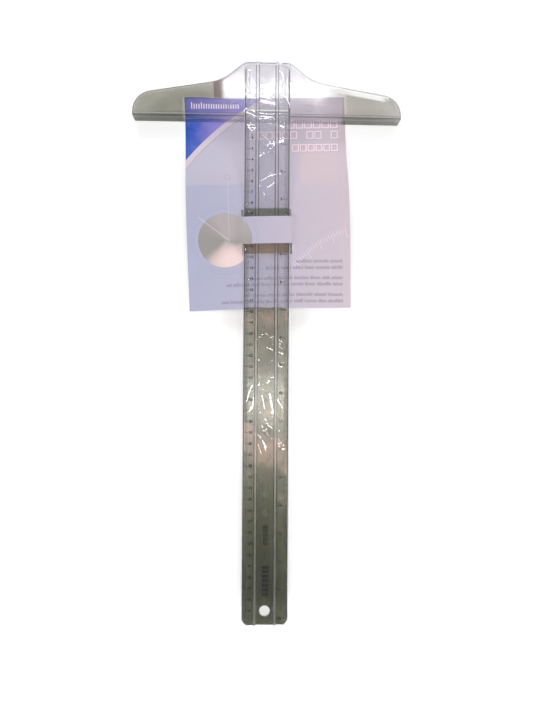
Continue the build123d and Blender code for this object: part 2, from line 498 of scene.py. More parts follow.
def tint_blade_lines(made, tint, rib):
    """Painted shade lines at the feet of the ribs, where the bevels start and along the edges, and a few
    specks.
    """
    tint = made.mix(tint, RIB_FOOT_PAINTED_SHADE, rib.near(RIB_HALF + 0.2, 0.28, 0.15) * 0.8)
    tint = made.mix(tint, BEVEL_PAINTED_SHADE, abs(made.x).near(BLADE_HALF - BEVEL, 0.15, 0.2) * 0.3)
    tint = made.mix(tint, BLADE_RIM_PAINTED_SHADE, abs(made.x).rise(BLADE_HALF - 1.3, BLADE_HALF - 0.7) * 0.8)
    return made.mix(tint, SPECK, made.noise(0.9, 0.0).rise(0.76, 0.82) * 0.6)


def blade_plastic():
    """Moulded blade: clear over the card, smoky where it is seen alone, with painted shade lines along ribs
    and edges and painted shade over the card's slots.
    """
    made = Material("clear_plastic_blade")
    below_card = made.y.fall(-177.5, -175.0)
    over_card = made.mix(OVER_CARD, CLEAR, made.y.rise(-6, 4))
    tint = tint_slots(made, made.mix(over_card, blade_smoke(made), below_card))
    mottle = made.noise(9.0, 3.0, stretch=(1, 0.5, 1)) * 0.20 + made.noise(1.2, 2.0) * 0.16 - 0.18
    tint = made.scaled(tint, mottle * (below_card * 0.8 + 0.2) + 1.0)
    rib = abs(abs(made.x) - RIB_MIDDLE)
    tint = tint_blade_lines(made, tint, rib)
    end_wall = abs(made.nz).fall(0.3, 0.8) * abs(made.ny).rise(0.2, 0.6)
    haze = (end_wall * 0.6).either(rib.fall(0.6, 0.9) * 0.09)
    haze = haze.either(below_card.inverse() * 0.06) + 0.008
    ripple = made.bump(made.noise(30.0, 1.0), 0.10)
    return clear_surface(made, tint, 0.24, ripple, haze, shine=0.65)


def film_plastic(name, tone):
    """Thin crinkled film: nearly clear, with painted shade where it stands steep, and dull along its sides
    and ribs.
    """
    made = Material(name)
    # Painted shade where the film stands steep
    tint = made.mix(tone, STEEP_FILM_PAINTED_SHADE, abs(made.nz).fall(0.80, 0.995))
    crinkle = made.bump(made.noise(7.0, 2.0), 0.03)
    weld = abs(made.x).rise(FILM_HALF - 1.3, FILM_HALF - 0.9)
    side = abs(made.x).rise(17.0, 19.0) * made.y.fall(-178, -170)
    dull = side.either(abs(made.x).near(RIB_MIDDLE, 1.4, 0.5) * 0.8)
    haze = weld * 0.10 + 0.004
    return clear_surface(made, tint, dull * 0.3 + 0.05, crinkle, haze, shine=dull * -0.5 + 0.7)


def ink(name, colour, spread):
    """Slightly uneven printed ink."""
    made = Material(name)
    worn = made.noise(1.5, 3.0) * spread + (1 - spread / 2)
    tone = made.scaled(colour, worn)
    shader = made.node("ShaderNodeBsdfPrincipled", Base_Color=tone, Roughness=0.6)
    shader.inputs["Specular IOR Level"].default_value = 0.1
    return made.finish(shader.outputs[0])


# ---------------------------------------------------------------- printed card

# Places on the card are u to its right and v up, from its centre
CORNER_CENTRE = (73.0, -71.0)
CORNER_RADIUS = 185.4
CORNER_BORDER = 5.0
DISC_CENTRE = (-40.3, -36.6)
DISC_RADIUS = 25.0
RING_RADII = (29.0, 31.4)
SMALL_RING_CENTRE = (-37.0, 22.3)
SMALL_RING_RADIUS = 2.5
DIAL_CENTRE = (102.0, -131.0)
DIAL_RADIUS = 113.0

LILAC_LEFT = linear(172, 173, 197)
LILAC_RIGHT = linear(203, 189, 199)
PINK = linear(211, 188, 193)
FAINT = linear(160, 160, 186)
PALE_GREEN = linear(176, 196, 178)
METAL = linear(152, 148, 146)
# Painted reflections of the brushed disc
METAL_PAINTED_BRIGHT_REFLECTION = linear(176, 168, 168)
METAL_PAINTED_DARK_REFLECTION = linear(150, 146, 143)
METAL_PAINTED_PINK_REFLECTION = linear(236, 210, 208)
PALE_LINE = linear(214, 210, 220)
BLUE_DEEP = linear(28, 78, 180)
BLUE_SHEEN = linear(134, 128, 200)
VIOLET_SHEEN = linear(176, 152, 208)
BORDER_PINK = linear(207, 192, 204)
PAPER = linear(236, 234, 238)


def card_to_frame(u, v):
    """From the card's own coordinates, measured from its centre, to the frame."""
    return (
        u * cos(CARD_TURN) - v * sin(CARD_TURN) + CARD_SHIFT,
        u * sin(CARD_TURN) + v * cos(CARD_TURN) + CARD_MIDDLE,
    )


def distance(u, v, centre):
    """Distance from a point of the card."""
    du, dv = u - centre[0], v - centre[1]
    return (du * du + dv * dv).math("SQRT")


def print_ground(made, u, v):
    """Lilac that turns to pink at the right, with a paler upper part and a pink patch."""
    sheen = made.noise(38.0, 2.0) * 0.5
    tone = made.mix(LILAC_LEFT, LILAC_RIGHT, (u + sheen * 40.0).rise(-70, 95))
    tone = made.mix(tone, LILAC_RIGHT, v.rise(14.9, 15.3) * u.fall(-24, 10) * 0.35)
    patch = u.near(48.4, 17.3, 0.4) * v.near(33.4, 18.2, 0.4)
    tone = made.mix(tone, PINK, patch * 0.55)
    return made.mix(tone, PINK, u.rise(66, 76) * 0.4)


def print_rings(made, tone, u, v):
    """Faint rings round the disc, and a small ring with a green dot."""
    for radius in RING_RADII:
        tone = made.mix(tone, FAINT, distance(u, v, DISC_CENTRE).near(radius, 0.12, 0.2) * 0.55)
    away = distance(u, v, SMALL_RING_CENTRE)
    tone = made.mix(tone, FAINT, away.near(SMALL_RING_RADIUS, 0.2, 0.25) * 0.6)
    return made.mix(tone, PALE_GREEN, away.fall(0.5, 1.2) * 0.8)


def print_disc(made, tone, u, v):
    """Brushed disc: soft streaks that fan out from its centre, and painted reflections: a lighter side, a
    darker side and a bright pink wedge towards its foot.
    """
    du, dv = u - DISC_CENTRE[0], v - DISC_CENTRE[1]
    away = distance(u, v, DISC_CENTRE)
    grain = made.noise(9.0, 1.0) * 0.12 - 0.06

    def toward(direction):
        """1 in a direction from the disc's centre, falling to -1 in the opposite one."""
        along = du * cos(radians(direction)) + dv * sin(radians(direction))
        return along / away + grain

    # Painted reflections by direction from the disc's centre
    metal = made.mix(METAL, METAL_PAINTED_BRIGHT_REFLECTION, toward(75).rise(-0.4, 0.95))
    metal = made.mix(metal, METAL_PAINTED_DARK_REFLECTION, toward(165).rise(0.5, 1.0) * 0.5)
    metal = made.mix(metal, METAL_PAINTED_PINK_REFLECTION, toward(-78).rise(0.35, 1.05) * away.rise(-6, 16))
    metal = made.scaled(metal, made.noise(0.8, 2.0) * 0.10 + 0.95)
    return made.mix(tone, metal, away.fall(DISC_RADIUS - 0.25, DISC_RADIUS + 0.1))


def print_lines(made, tone, u, v):
    """Two pale construction lines across the disc, one upright and one slanting."""
    plumb = (u + 36.6).near(0.0, 0.12, 0.25) * v.near(-9.0, 28.6, 0.5)
    slant = ((u + 36.4) * 0.621 + (v + 37.2) * 0.784).near(0.0, 0.14, 0.28) * u.near(-50.5, 14.1, 0.4)
    return made.mix(tone, PALE_LINE, (plumb * 0.45).either(slant * 0.8))


def print_corner(made, tone, u, v):
    """Blue corner with a violet sheen, behind a pale curved border."""
    reach = distance(u, v, CORNER_CENTRE)
    inner = CORNER_RADIUS - CORNER_BORDER
    shine = u * 0.9 + v * 0.25 + made.noise(10.0, 4.0) * 22.0 + made.noise(1.0, 1.0) * 5.0
    blue = made.mix(BLUE_DEEP, BLUE_SHEEN, shine.rise(-40, -8))
    blue = made.mix(blue, VIOLET_SHEEN, (u + made.noise(9.0, 2.0) * 14.0).rise(-50, -18) * 0.6)
    blue = made.mix(blue, BLUE_SHEEN, v.rise(84, 90) * 0.6)
    tone = made.mix(tone, FAINT, reach.near(inner - 0.5, 0.5, 0.5) * 0.5)
    tone = made.mix(tone, BORDER_PINK, reach.rise(inner - 0.15, inner + 0.15))
    return made.mix(tone, blue, reach.rise(CORNER_RADIUS - 0.15, CORNER_RADIUS + 0.15))


def card_print():
    """The board: its printed picture, bare board on the cut edges and the back, and paper grain."""
    made = Material("printed_card")
    x, y = made.x - CARD_SHIFT, made.y - CARD_MIDDLE
    u = x * cos(CARD_TURN) + y * sin(CARD_TURN)
    v = y * cos(CARD_TURN) - x * sin(CARD_TURN)
    tone = print_ground(made, u, v)
    for layer in (print_rings, print_disc, print_lines, print_corner):
        tone = layer(made, tone, u, v)
    bare = made.nz.fall(0.35, 0.55)
    board = made.scaled(PAPER, made.noise(0.7, 4.0) * 0.10 + 0.94)
    tone = made.mix(tone, board, bare)
    tone = made.scaled(tone, made.noise(1.1, 3.0) * 0.06 + made.noise(25.0, 2.0) * 0.05 + 0.755)
    shader = made.node(
        "ShaderNodeBsdfPrincipled",
        Base_Color=tone,
        Specular_IOR_Level=0.3,
        Roughness=bare * 0.35 + 0.42,
        Normal=made.bump(made.noise(0.6, 3.0), 0.01),
    )
    return made.finish(shader.outputs[0])


# The band over the sleeved blade: heights of its upper face by distance from the centreline. The card is
# level again at ARCH_END.
BAND_ARCH = (
    (0, 3.84), (10.3, 3.84), (19.0, 3.35), (21.9, 3.1),
    (23.2, 2.45), (24.6, 1.2), (26.6, 0.15), (30.0, -0.36),
)
ARCH_END = 36.0


def arch(across):
    """Height of the band's upper face at a distance across from the centreline."""
    foot, foot_height = BAND_ARCH[-1]
    if abs(across) <= foot:
        return on_line(across, BAND_ARCH)
    return CARD_UNDER_BLADE + (foot_height - CARD_UNDER_BLADE) * ramp(abs(across), ARCH_END, foot)


def card_height(x, y, on_band=False):
    """Height of the card's upper face: it rises from the fence's foot to the blade. Its corners droop."""
    if on_band:
        return arch(x)
    bend = ramp(y, BEND_START, BEND_END)
    height = CARD_UNDER_HEAD + (CARD_UNDER_BLADE - CARD_UNDER_HEAD) * bend
    lower_droop = 9.5 * ramp(abs(x), 22, 80) * ramp(y, -95, -185)
    corner_lift = 3.6 * ramp(-x, 30, 75) * ramp(y, 5, 25)
    waviness = 0.25 * sin(x / 19.0 + 1.0) * sin(y / 27.0) * ramp(abs(x), 26, 60) * bend
    height += corner_lift - lower_droop + waviness
    if abs(x) > SLOT_HALF - 1:
        beside_band = ramp(y, SLOTS_TOP, BAND_TOP) * ramp(y, SLOTS_BOTTOM, BAND_BOTTOM)
        height += (arch(x) - CARD_UNDER_BLADE) * beside_band
    return max(height, CARD_LOWEST)


def make_card(material):
    """A thin sheet with two slots, whose band arches over the blade."""
    slots_middle = (SLOTS_TOP + SLOTS_BOTTOM) / 2 - CARD_MIDDLE
    slots_half = (SLOTS_TOP - SLOTS_BOTTOM) / 2
    middle_u = sin(CARD_TURN) * slots_middle - cos(CARD_TURN) * CARD_SHIFT
    middle_v = cos(CARD_TURN) * slots_middle + sin(CARD_TURN) * CARD_SHIFT
    left, right = middle_u - SLOT_HALF, middle_u + SLOT_HALF
    slots_top, slots_bottom = middle_v + slots_half, middle_v - slots_half
    band_top, band_bottom = BAND_TOP - CARD_MIDDLE, BAND_BOTTOM - CARD_MIDDLE
    marks = (slots_top, band_top, band_bottom, slots_bottom)
    across = steps(-CARD_WIDTH / 2, CARD_WIDTH / 2, 1.5, (left, right))
    along = steps(-CARD_HEIGHT / 2, CARD_HEIGHT / 2, 1.8, marks)

    def kept(i, j):
        u, v = (across[i] + across[i + 1]) / 2, (along[j] + along[j + 1]) / 2
        in_slot = band_top < v < slots_top or slots_bottom < v < band_bottom
        return not (left < u < right and in_slot)

    corners, faces = closed_sheet(len(across) - 1, len(along) - 1, kept)
    points = []
    for i, j, under in corners:
        x, y = card_to_frame(across[i], along[j])
        on_band = band_bottom - 0.01 <= along[j] <= band_top + 0.01 and left <= across[i] <= right
        points.append((x, y, card_height(x, y, on_band) - (CARD_THICK if under else 0)))
    card = mesh_piece("card_sheet", points, faces, material, "card")
    card.data.set_sharp_from_angle(angle=radians(50))
    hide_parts("display_card")


# What is printed on the card in plain shapes, where the real one carries words
TEXT_RIGHT = 67.6
TEXT_LINES = (
    (-57.6, 24.0), (-63.4, -6.0), (-72.9, -17.5), (-78.6, -40.5), (-88.3, -25.0), (-94.2, -46.0),
)
RULES_START = -69.0
RULES_FOOT = 90.6
RULES_PITCH = 2.3
BLOCK_ROWS = ((78.0, 70.8, 20.0, 69.0), (68.3, 60.6, -16.0, 69.0), (55.4, 47.8, 24.0, 68.5))


def card_marks(name, strokes, material, lift=0.02):
    """Small printed shapes on the card, each a list of corners in the card's own coordinates."""
    points, faces = [], []
    for corners in strokes:
        placed = [card_to_frame(u, v) for u, v in corners]
        slab(points, faces, placed, lambda x, y: card_height(x, y) + lift)
    piece = mesh_piece(name, points, faces, material, "card", smooth=False)


def greeked_lines():
    """Right-aligned lines of plain upright strokes: TEXT_LINES has the base and the left end of each."""
    draw = random.Random(11)
    pitch = 0.98
    strokes = []
    for base, start in TEXT_LINES:
        foot = base - 1.2
        right = TEXT_RIGHT
        while right > start + 3:
            left = max(start, right - draw.uniform(7.0, 17.0))
            count = max(3, round((right - left) / pitch))
            for step in range(count):
                u = right - pitch * step
                tall = 3.3 if draw.random() > 0.8 else 2.3
                strokes.append(bar(u, foot, u, foot + tall, 0.4))
            right -= pitch * count + 1.3
    return strokes


def outlined_blocks(shift):
    """Rows of open blocks, moved by shift for their shadow: BLOCK_ROWS has each row's top, foot and ends."""
    strokes = []
    for top, bottom, start, end in BLOCK_ROWS:
        count = round((end - start) / 7.9)
        pitch = (end - start) / count
        upper, lower = top - shift, bottom - shift
        for i in range(count):
            if count > 9 and i in (6, 9):
                continue
            left = start + i * pitch + 1.0 + shift
            right = start + (i + 1) * pitch - 1.0 + shift
            for u in (left, right):
                strokes.append(bar(u, lower, u, upper, 1.15))
            for v in (upper - 0.55, lower + 0.55):
                strokes.append(bar(left + 0.6, v, right - 0.6, v, 1.1))
    return strokes


def pale_rules():
    """A row of plain upright rules on the blue corner, two of them taller."""
    strokes = []
    for i in range(20):
        u = RULES_START + RULES_PITCH * i
        tall = 5.6 if i in (0, 4) else 4.2
        strokes.append(bar(u, RULES_FOOT, u, RULES_FOOT + tall, 1.0))
    return strokes


def dial():
    """Part of a faint protractor dial at the right: its arc and its ticks."""
    margin = CARD_WIDTH / 2 - 1
    tick_radius = DIAL_RADIUS - 5
    ticks, arc = [], []

    def at(radius, angle):
        u = DIAL_CENTRE[0] + radius * cos(radians(angle))
        return u, DIAL_CENTRE[1] + radius * sin(radians(angle))

    for step in range(36):
        angle = 106 + step * 0.6
        if at(DIAL_RADIUS, angle)[0] < margin:
            arc.append(bar(*at(DIAL_RADIUS, angle), *at(DIAL_RADIUS, angle + 0.6), 0.22))
    for step in range(22):
        angle = 107 + step * 1.5
        length = 9.0 if step % 5 == 0 else 4.5
        if at(tick_radius, angle)[0] < margin:
            ticks.append(bar(*at(tick_radius, angle), *at(tick_radius - length, angle), 0.45))
    return ticks, arc


# ---------------------------------------------------------------- blade markings

# Scale lines: the longest first, as (every so many steps, its length)
MM_TICKS = ((10, 3.8), (5, 2.9), (1, 1.9))
INCH_TICKS = ((16, 4.6), (8, 3.4), (4, 2.6), (1, 1.8))
TICK_EDGE = BLADE_HALF - 1.5
CM_LAST = 45
INCH_LAST = 18
CM_FIGURES_X = -13.6
INCH_FIGURES_X = 13.2
FIGURE_SIZE = 3.4

# Rows of the imprint: its two ends, half its height, how many blocks and how wide their strokes
IMPRINT_X = 0.4
IMPRINT_ROWS = ((-373.0, -391.5, 1.5, 5, 0.8), (-409.0, -437.0, 2.3, 7, 1.1))

# Ejector rings: their places, radii and widths
BLADE_RINGS = ((0.0, -76.0), (0.0, -172.0), (0.0, -268.0), (0.0, -363.0))
BLADE_RING_SIZE = (2.0, 0.25)
ARM_RINGS = ((38.5, 8.5), (-38.5, 8.5))
ARM_RING_SIZE = (3.1, 0.3)


def marking(name, points, faces, material):
    """A piece of ink or moulding on the square itself."""
    piece = mesh_piece(name, points, faces, material, "t_square", smooth=False)


def blade_surface(x, _y):
    """Height of the blade's upper face beside the ribs."""
    beyond = max(0.0, abs(x) - (BLADE_HALF - BEVEL))
    return BLADE_TOP - beyond * (BLADE_TOP - EDGE_TOP) / BEVEL


def ruled(points, faces, x0, x1, y, width):
    """A scale line square to the blade, broken where the bevel starts."""
    brink = BLADE_HALF - BEVEL
    stops = [x0, x1]
    if abs(x0) > brink > abs(x1) or abs(x1) > brink > abs(x0):
        stops.insert(1, brink if x0 > 0 else -brink)
    for start, end in zip(stops, stops[1:]):
        slab(points, faces, bar(start, y, end, y, width), blade_surface)


def tick_length(step, ticks):
    return next(length for every, length in ticks if step % every == 0)


def make_scales(material):
    """Millimetre scale on the left edge, sixteenths of an inch on the right."""
    points, faces = [], []
    for mm in range(1, CM_LAST * 10 + 11):
        inner = -TICK_EDGE + tick_length(mm, MM_TICKS)
        ruled(points, faces, -TICK_EDGE, inner, -mm, 0.42 if mm % 10 == 0 else 0.24)
    for sixteenth in range(1, INCH_LAST * 16 + 1):
        inner = TICK_EDGE - tick_length(sixteenth, INCH_TICKS)
        width = 0.42 if sixteenth % 16 == 0 else 0.3
        ruled(points, faces, TICK_EDGE, inner, -sixteenth * INCH / 16, width)
    marking("scale_ticks", points, faces, material)


def figure_mesh(number, x, y):
    """A number as a thin solid mesh in the frame."""
    curve = bpy.data.curves.new("figure", "FONT")
    curve.body = str(number)
    curve.size = FIGURE_SIZE * MM
    curve.offset = 0.12 * MM
    curve.align_x = "CENTER"
    curve.align_y = "CENTER"
    curve.extrude = 0.02 * MM
    curve.resolution_u = 2
    figure = bpy.data.objects.new("figure", curve)
    bpy.context.scene.collection.objects.link(figure)
    figure.location = (x * MM, y * MM, (blade_surface(x, y) + 0.02) * MM)
    bpy.context.view_layer.update()
    solid = bpy.data.meshes.new_from_object(figure.evaluated_get(bpy.context.evaluated_depsgraph_get()))
    solid.transform(figure.matrix_world)
    bpy.data.objects.remove(figure)
    return solid


def make_numerals(material):
    """The numbers of both scales in one mesh."""
    centimetres = [(n, CM_FIGURES_X, -10.0 * n) for n in range(1, CM_LAST + 1)]
    inches = [(n, INCH_FIGURES_X, -INCH * n) for n in range(1, INCH_LAST + 1)]
    joined = bmesh.new()
    for number, x, y in centimetres + inches:
        solid = figure_mesh(number, x, y)
        joined.from_mesh(solid)
        bpy.data.meshes.remove(solid)
    bmesh.ops.remove_doubles(joined, verts=joined.verts, dist=0.001 * MM)
    mesh = bpy.data.meshes.new("scale_numerals")
    joined.to_mesh(mesh)
    joined.free()
    mesh.materials.append(material)
    piece = bpy.data.objects.new("scale_numerals", mesh)
    bpy.context.scene.collection.objects.link(piece)
    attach(piece, "t_square")


def make_imprint(material):
    """Two rows of plain open blocks, read sideways, where a blade carries its imprint."""
    points, faces = [], []
    for start, end, half, count, stroke in IMPRINT_ROWS:
        pitch = (end - start) / count
        left, right = IMPRINT_X - half, IMPRINT_X + half
        for i in range(count):
            top, bottom = start + i * pitch - 0.6, start + (i + 1) * pitch + 0.6
            for x in (left, right):
                slab(points, faces, bar(x, top, x, bottom, stroke), blade_surface)
            for y in (top - stroke / 2, bottom + stroke / 2):
                slab(points, faces, bar(left, y, right, y, stroke), blade_surface)
    marking("imprint_blocks", points, faces, material)


def ring(points, faces, x, y, radius, width):
    """A flat ring raised a little above the blade or the head."""
    count = 32
    raised = 0.05
    start = len(points)
    for r, z in ((radius, 0.0), (radius, raised), (radius - width, raised), (radius - width, 0.0)):
        for i in range(count):
            angle = 2 * pi * i / count
            points.append((x + r * cos(angle), y + r * sin(angle), BLADE_TOP + z))
    for band in range(4):
        for i in range(count):
            after = (i + 1) % count
            here, there = start + band * count, start + (band + 1) % 4 * count
            faces.append([here + i, here + after, there + after, there + i])


def make_moulding_marks(material):
    """Ejector rings along the blade and one on each arm."""
    points, faces = [], []
    for place in BLADE_RINGS:
        ring(points, faces, *place, *BLADE_RING_SIZE)
    for place in ARM_RINGS:
        ring(points, faces, *place, *ARM_RING_SIZE)
    marking("moulding_marks", points, faces, material)


# ---------------------------------------------------------------- sleeve

# Cross-sections of the front film, as heights by distance from the centreline: at rest, and as low as it may
# go. TUBE is where the two films go round the blade, LAP is where the front one laps over the head. Nothing
# rises above CEILING, where the card's band passes.
TUBE = (
    (0, 2.6), (7.2, 2.62), (8.0, 3.14), (10.0, 3.14), (11.0, 2.62),
    (16.0, 2.5), (20.8, 1.32), (21.4, 0.62), (FILM_HALF, 0.6),
)
TUBE_LOW = (
    (0, 2.35), (7.6, 2.35), (7.9, 3.08), (10.1, 3.08), (10.4, 2.35),
    (16.65, 2.35), (20.65, 1.15), (FILM_HALF, 0.56),
)
LAP = ((0, 2.6), (7.2, 2.62), (8.0, 3.14), (10.0, 3.14), (11.0, 2.62), (15.0, 2.5), (FILM_HALF, 2.36))
LAP_LOW = ((0, 2.35), (7.6, 2.35), (7.9, 3.08), (10.1, 3.08), (10.4, 2.33), (FILM_HALF, 2.31))
CEILING = ((0, 3.34), (10.0, 3.34), (19.0, 2.85), (FILM_HALF, 2.5))
TAIL_LOW = 0.62

# Rows of the front film's grid, finer where it is creased: (where a stretch ends, size of its cells)
FRONT_ROWS = ((-316, 1.2), (-194, 0.55), (-94, 1.2), (24, 0.55), (FRONT_HIGH.y, 0.8))

# How wide and high the creases are in the film's shape, and in the relief that the light shows
CREASE_SHAPE = (1.2, 0.8)
CREASE_RELIEF = (1.9, 1.3)

# Creases of the front film: each is a line of points, its height and its half-width
CREASES = (
    (((-18, 17), (-5, 12), (12, 8.5)), 0.8, 1.5),
    (((8, 20), (14, 12), (19.5, 4)), 0.8, 1.5),
    (((-17, 40), (-12, 28), (-15, 12)), 0.5, 1.8),
    (((12, 48), (14, 34), (11, 24)), 0.6, 1.8),
    (((-5, -5), (4, -8), (16, -12.5)), 0.8, 1.8),
    (((-20, 2), (-8, -3), (6, -2), (19, 1)), 0.5, 1.3),
    (((-18, -11), (-8.6, -19.5), (3.4, -31)), 0.9, 1.4),
    (((14.5, -24.5), (3.4, -29), (3.4, -31.3), (-6, -39)), 0.9, 1.5),
    (((3.4, -31), (12, -33)), 0.6, 1.2),
    (((-19, -16), (-12, -14), (-6, -9)), 0.6, 1.3),
    (((-6.5, -63), (2.7, -56.5), (11.8, -54.5), (15.5, -57), (10, -61), (-2.8, -70)), 0.7, 1.2),
    (((16, -84), (18, -89)), 0.7, 1.3),
    (((-20, -82), (-18, -86)), 0.7, 1.3),
    (((-19, -119), (-16.5, -127), (-19, -133), (-16, -138), (-17, -147)), 0.8, 1.5),
    (((-3.8, -203), (1.7, -208.5), (9.9, -211.2), (20, -216)), 0.8, 1.3),
    (((-3.8, -203), (7.2, -202.5), (15.4, -207.5), (20.5, -215)), 0.8, 1.3),
    (((14, -225.5), (20, -226)), 0.8, 1.4),
    (((-19, -262), (-13, -246), (-10, -238)), 0.7, 2.4),
    (((-6.5, -244), (-3.5, -256), (-1, -268)), 0.8, 2.2),
    (((4, -238), (-1, -250)), 0.7, 1.8),
    (((8, -240), (12, -262), (19, -272)), 0.7, 2.2),
    (((-8.5, -274), (-5, -282), (-1.5, -288)), 0.8, 2.0),
    (((1, -289), (5, -296), (12, -302.5), (19, -303.5)), 0.9, 1.4),
    (((1, -289), (9, -292.5), (15, -299), (20, -302.5)), 0.9, 1.4),
    (((-8, -297), (-4, -310)), 0.8, 1.7),
    (((-20, -330), (-12, -341), (-2, -345)), 0.3, 2.0),
    (((20, -318), (12, -330), (14, -344)), 0.4, 2.0),
    (((-19, -455), (0, -461), (18, -458)), 0.3, 1.6),
)


def crease_field(xs, ys, spread, gain):
    """Summed ridges of all creases over a grid, in millimetres."""
    gx, gy = np.meshgrid(xs, ys, indexing="ij")
    total = np.zeros_like(gx)
    for line, height, width in CREASES:
        nearest = np.full_like(gx, 1e9)
        for (x0, y0), (x1, y1) in zip(line, line[1:]):
            dx, dy = x1 - x0, y1 - y0
            share = np.clip(((gx - x0) * dx + (gy - y0) * dy) / (dx * dx + dy * dy), 0, 1)
            nearest = np.minimum(nearest, np.hypot(gx - x0 - share * dx, gy - y0 - share * dy))
        total += gain * height * np.exp(-((nearest / (spread * width)) ** 2))
    return total


def eased(rise, room):
    """A rise that flattens out before it has used up its room."""
    return room * (1 - exp(-rise / room))


def film_noise(x, y, size, seed):
    return noise.noise(Vector((x / size, y / size, seed)))


def film_edge(y, side):
    """Half-width of the film, which wanders a little along its welds."""
    wander = 0.42 + 0.18 * film_noise(side * 7.0, y, 26.0, 3.0) + 0.1 * film_noise(side, y, 5.0, 9.0)
    clipped = max(0.0, CLIPPED_CORNER - y) * (0.85 if side < 0 else 0.25)
    return FILM_HALF - wander - clipped


def film_normals(relief):
    """Surface directions of a grid, from its places and the heights that the shading should show."""
    along_x = np.gradient(relief, axis=0)
    along_y = np.gradient(relief, axis=1)
    normals = np.cross(along_x, along_y)
    return normals / np.linalg.norm(normals, axis=2, keepdims=True)


def film_place(x, y):
    """Pulls a grid point onto the wandering side edges and onto the punched hole."""
    away = hypot(x, y - HOLE_Y)
    if away < PUNCH_RADIUS + 1.0:
        share = ramp(away, PUNCH_RADIUS + 1.0, PUNCH_RADIUS + 0.3)
        stretch = 1 + (PUNCH_RADIUS / max(away, 0.01) - 1) * share
        x, y = x * stretch, HOLE_Y + (y - HOLE_Y) * stretch
    narrower = film_edge(y, 1 if x > 0 else -1) / FILM_HALF - 1
    share = abs(x) / FILM_HALF if y < CLIPPED_CORNER else ramp(abs(x), 17, FILM_HALF)
    return x * (1 + narrower * share), y


def film_sheet(name, material, xs, ys, surface, node):
    """A thin closed film over a grid, punched around the hang hole.

    surface(i, j, x, y) gives its height and its relief. The relief is what the light shows: the same folds,
    but as sharp as they are on real film, which the room between the blade and the card can't hold.
    """
    shape = np.zeros((len(xs), len(ys), 3))
    relief = np.zeros((len(xs), len(ys), 3))
    for i, across in enumerate(xs):
        for j, along in enumerate(ys):
            x, y = film_place(across, along)
            height, shown = surface(i, j, x, y)
            shape[i, j] = x, y, height
            relief[i, j] = across, along, shown
    normals = film_normals(relief)

    def kept(i, j):
        x, y = (xs[i] + xs[i + 1]) / 2, (ys[j] + ys[j + 1]) / 2
        return hypot(x, y - HOLE_Y) >= PUNCH_RADIUS

    corners, faces = closed_sheet(len(xs) - 1, len(ys) - 1, kept)
    points, directions = [], []
    for i, j, under in corners:
        x, y, height = shape[i, j]
        points.append((x, y, height - (FILM if under else 0)))
        directions.append(tuple(-normals[i, j] if under else normals[i, j]))
    piece = mesh_piece(name, points, faces, material, "sleeve")
    piece.data.normals_split_custom_set_from_vertices(directions)
    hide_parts(node)
    (ys[-1] - ys[0]) * MM
    piece.visible_shadow = False


def front_rows():
    """Places of the front film's grid along the blade."""
    rows = []
    low = FRONT_LOW.y
    for high, size in FRONT_ROWS:
        rows += steps(low, high, size)[:-1]
        low = high
    return rows + [low]


def front_levels(x, y):
    """Height of the front film at rest, and the lowest and the highest that it may go."""
    lap = ramp(y, TUBE_START - 6, TUBE_START + 3)
    rest = on_line(x, TUBE) * (1 - lap) + on_line(x, LAP) * lap
    low = on_line(x, TUBE_LOW) * (1 - lap) + on_line(x, LAP_LOW) * lap
    tail = ramp(y, BLADE_END + 1, BLADE_END - 5)
    rest = rest * (1 - tail) + (0.9 + 0.35 * film_noise(x, y, 6.0, 5.0)) * tail
    low = low * (1 - tail) + TAIL_LOW * tail
    return rest, low, on_line(x, CEILING)


def make_front_film(material):
    """The film over the blade and the middle of the head, creased within the room it has."""
    xs = steps(-FILM_HALF, FILM_HALF, 0.66)
    ys = front_rows()
    creases = crease_field(np.array(xs), np.array(ys), *CREASE_SHAPE)
    folds = crease_field(np.array(xs), np.array(ys), *CREASE_RELIEF)

    def surface(i, j, x, y):
        rest, low, high = front_levels(x, y)
        wave = 0.62 * film_noise(x, y * 0.75, 21.0, 1.0) + 0.05 * film_noise(x, y, 8.0, 2.0)
        slack = ramp(abs(x), FILM_HALF, FILM_HALF - 3.5)
        shown = 0.4 * rest + (1.3 * wave + folds[i, j]) * slack
        level = max(rest - 0.12, low + FILM + 0.01)
        rise = (wave + creases[i, j]) * slack
        if rise > 0:
            return level + eased(rise, max(high - level, 0.01)), shown
        return level - eased(-rise, level - low - FILM), shown

    film_sheet("film_front_sheet", material, xs, ys, surface, "film_front")


def make_back_film(material):
    """The film under the blade: nearly flat, turned up at both sides to the welds."""
    xs = steps(-FILM_HALF, FILM_HALF, 1.1)
    ys = steps(BACK_LOW.y, BACK_HIGH.y, 1.6)

    def surface(_i, _j, x, y):
        flat = BACK_LOW.z + 0.09 + 0.02 * film_noise(x, y, 9.0, 7.0)
        side = ramp(abs(x), BLADE_HALF - 0.2, FILM_HALF)
        height = flat + (WELD_TOP - 0.12 - flat) * side
        return height, height

    film_sheet("film_back_sheet", material, xs, ys, surface, "film_back")


# ---------------------------------------------------------------- studio

WORLD_COLOUR = (0.96, 0.975, 1.0, 1)
WORLD_STRENGTH = 0.15
FLOOR_HALF = 4000

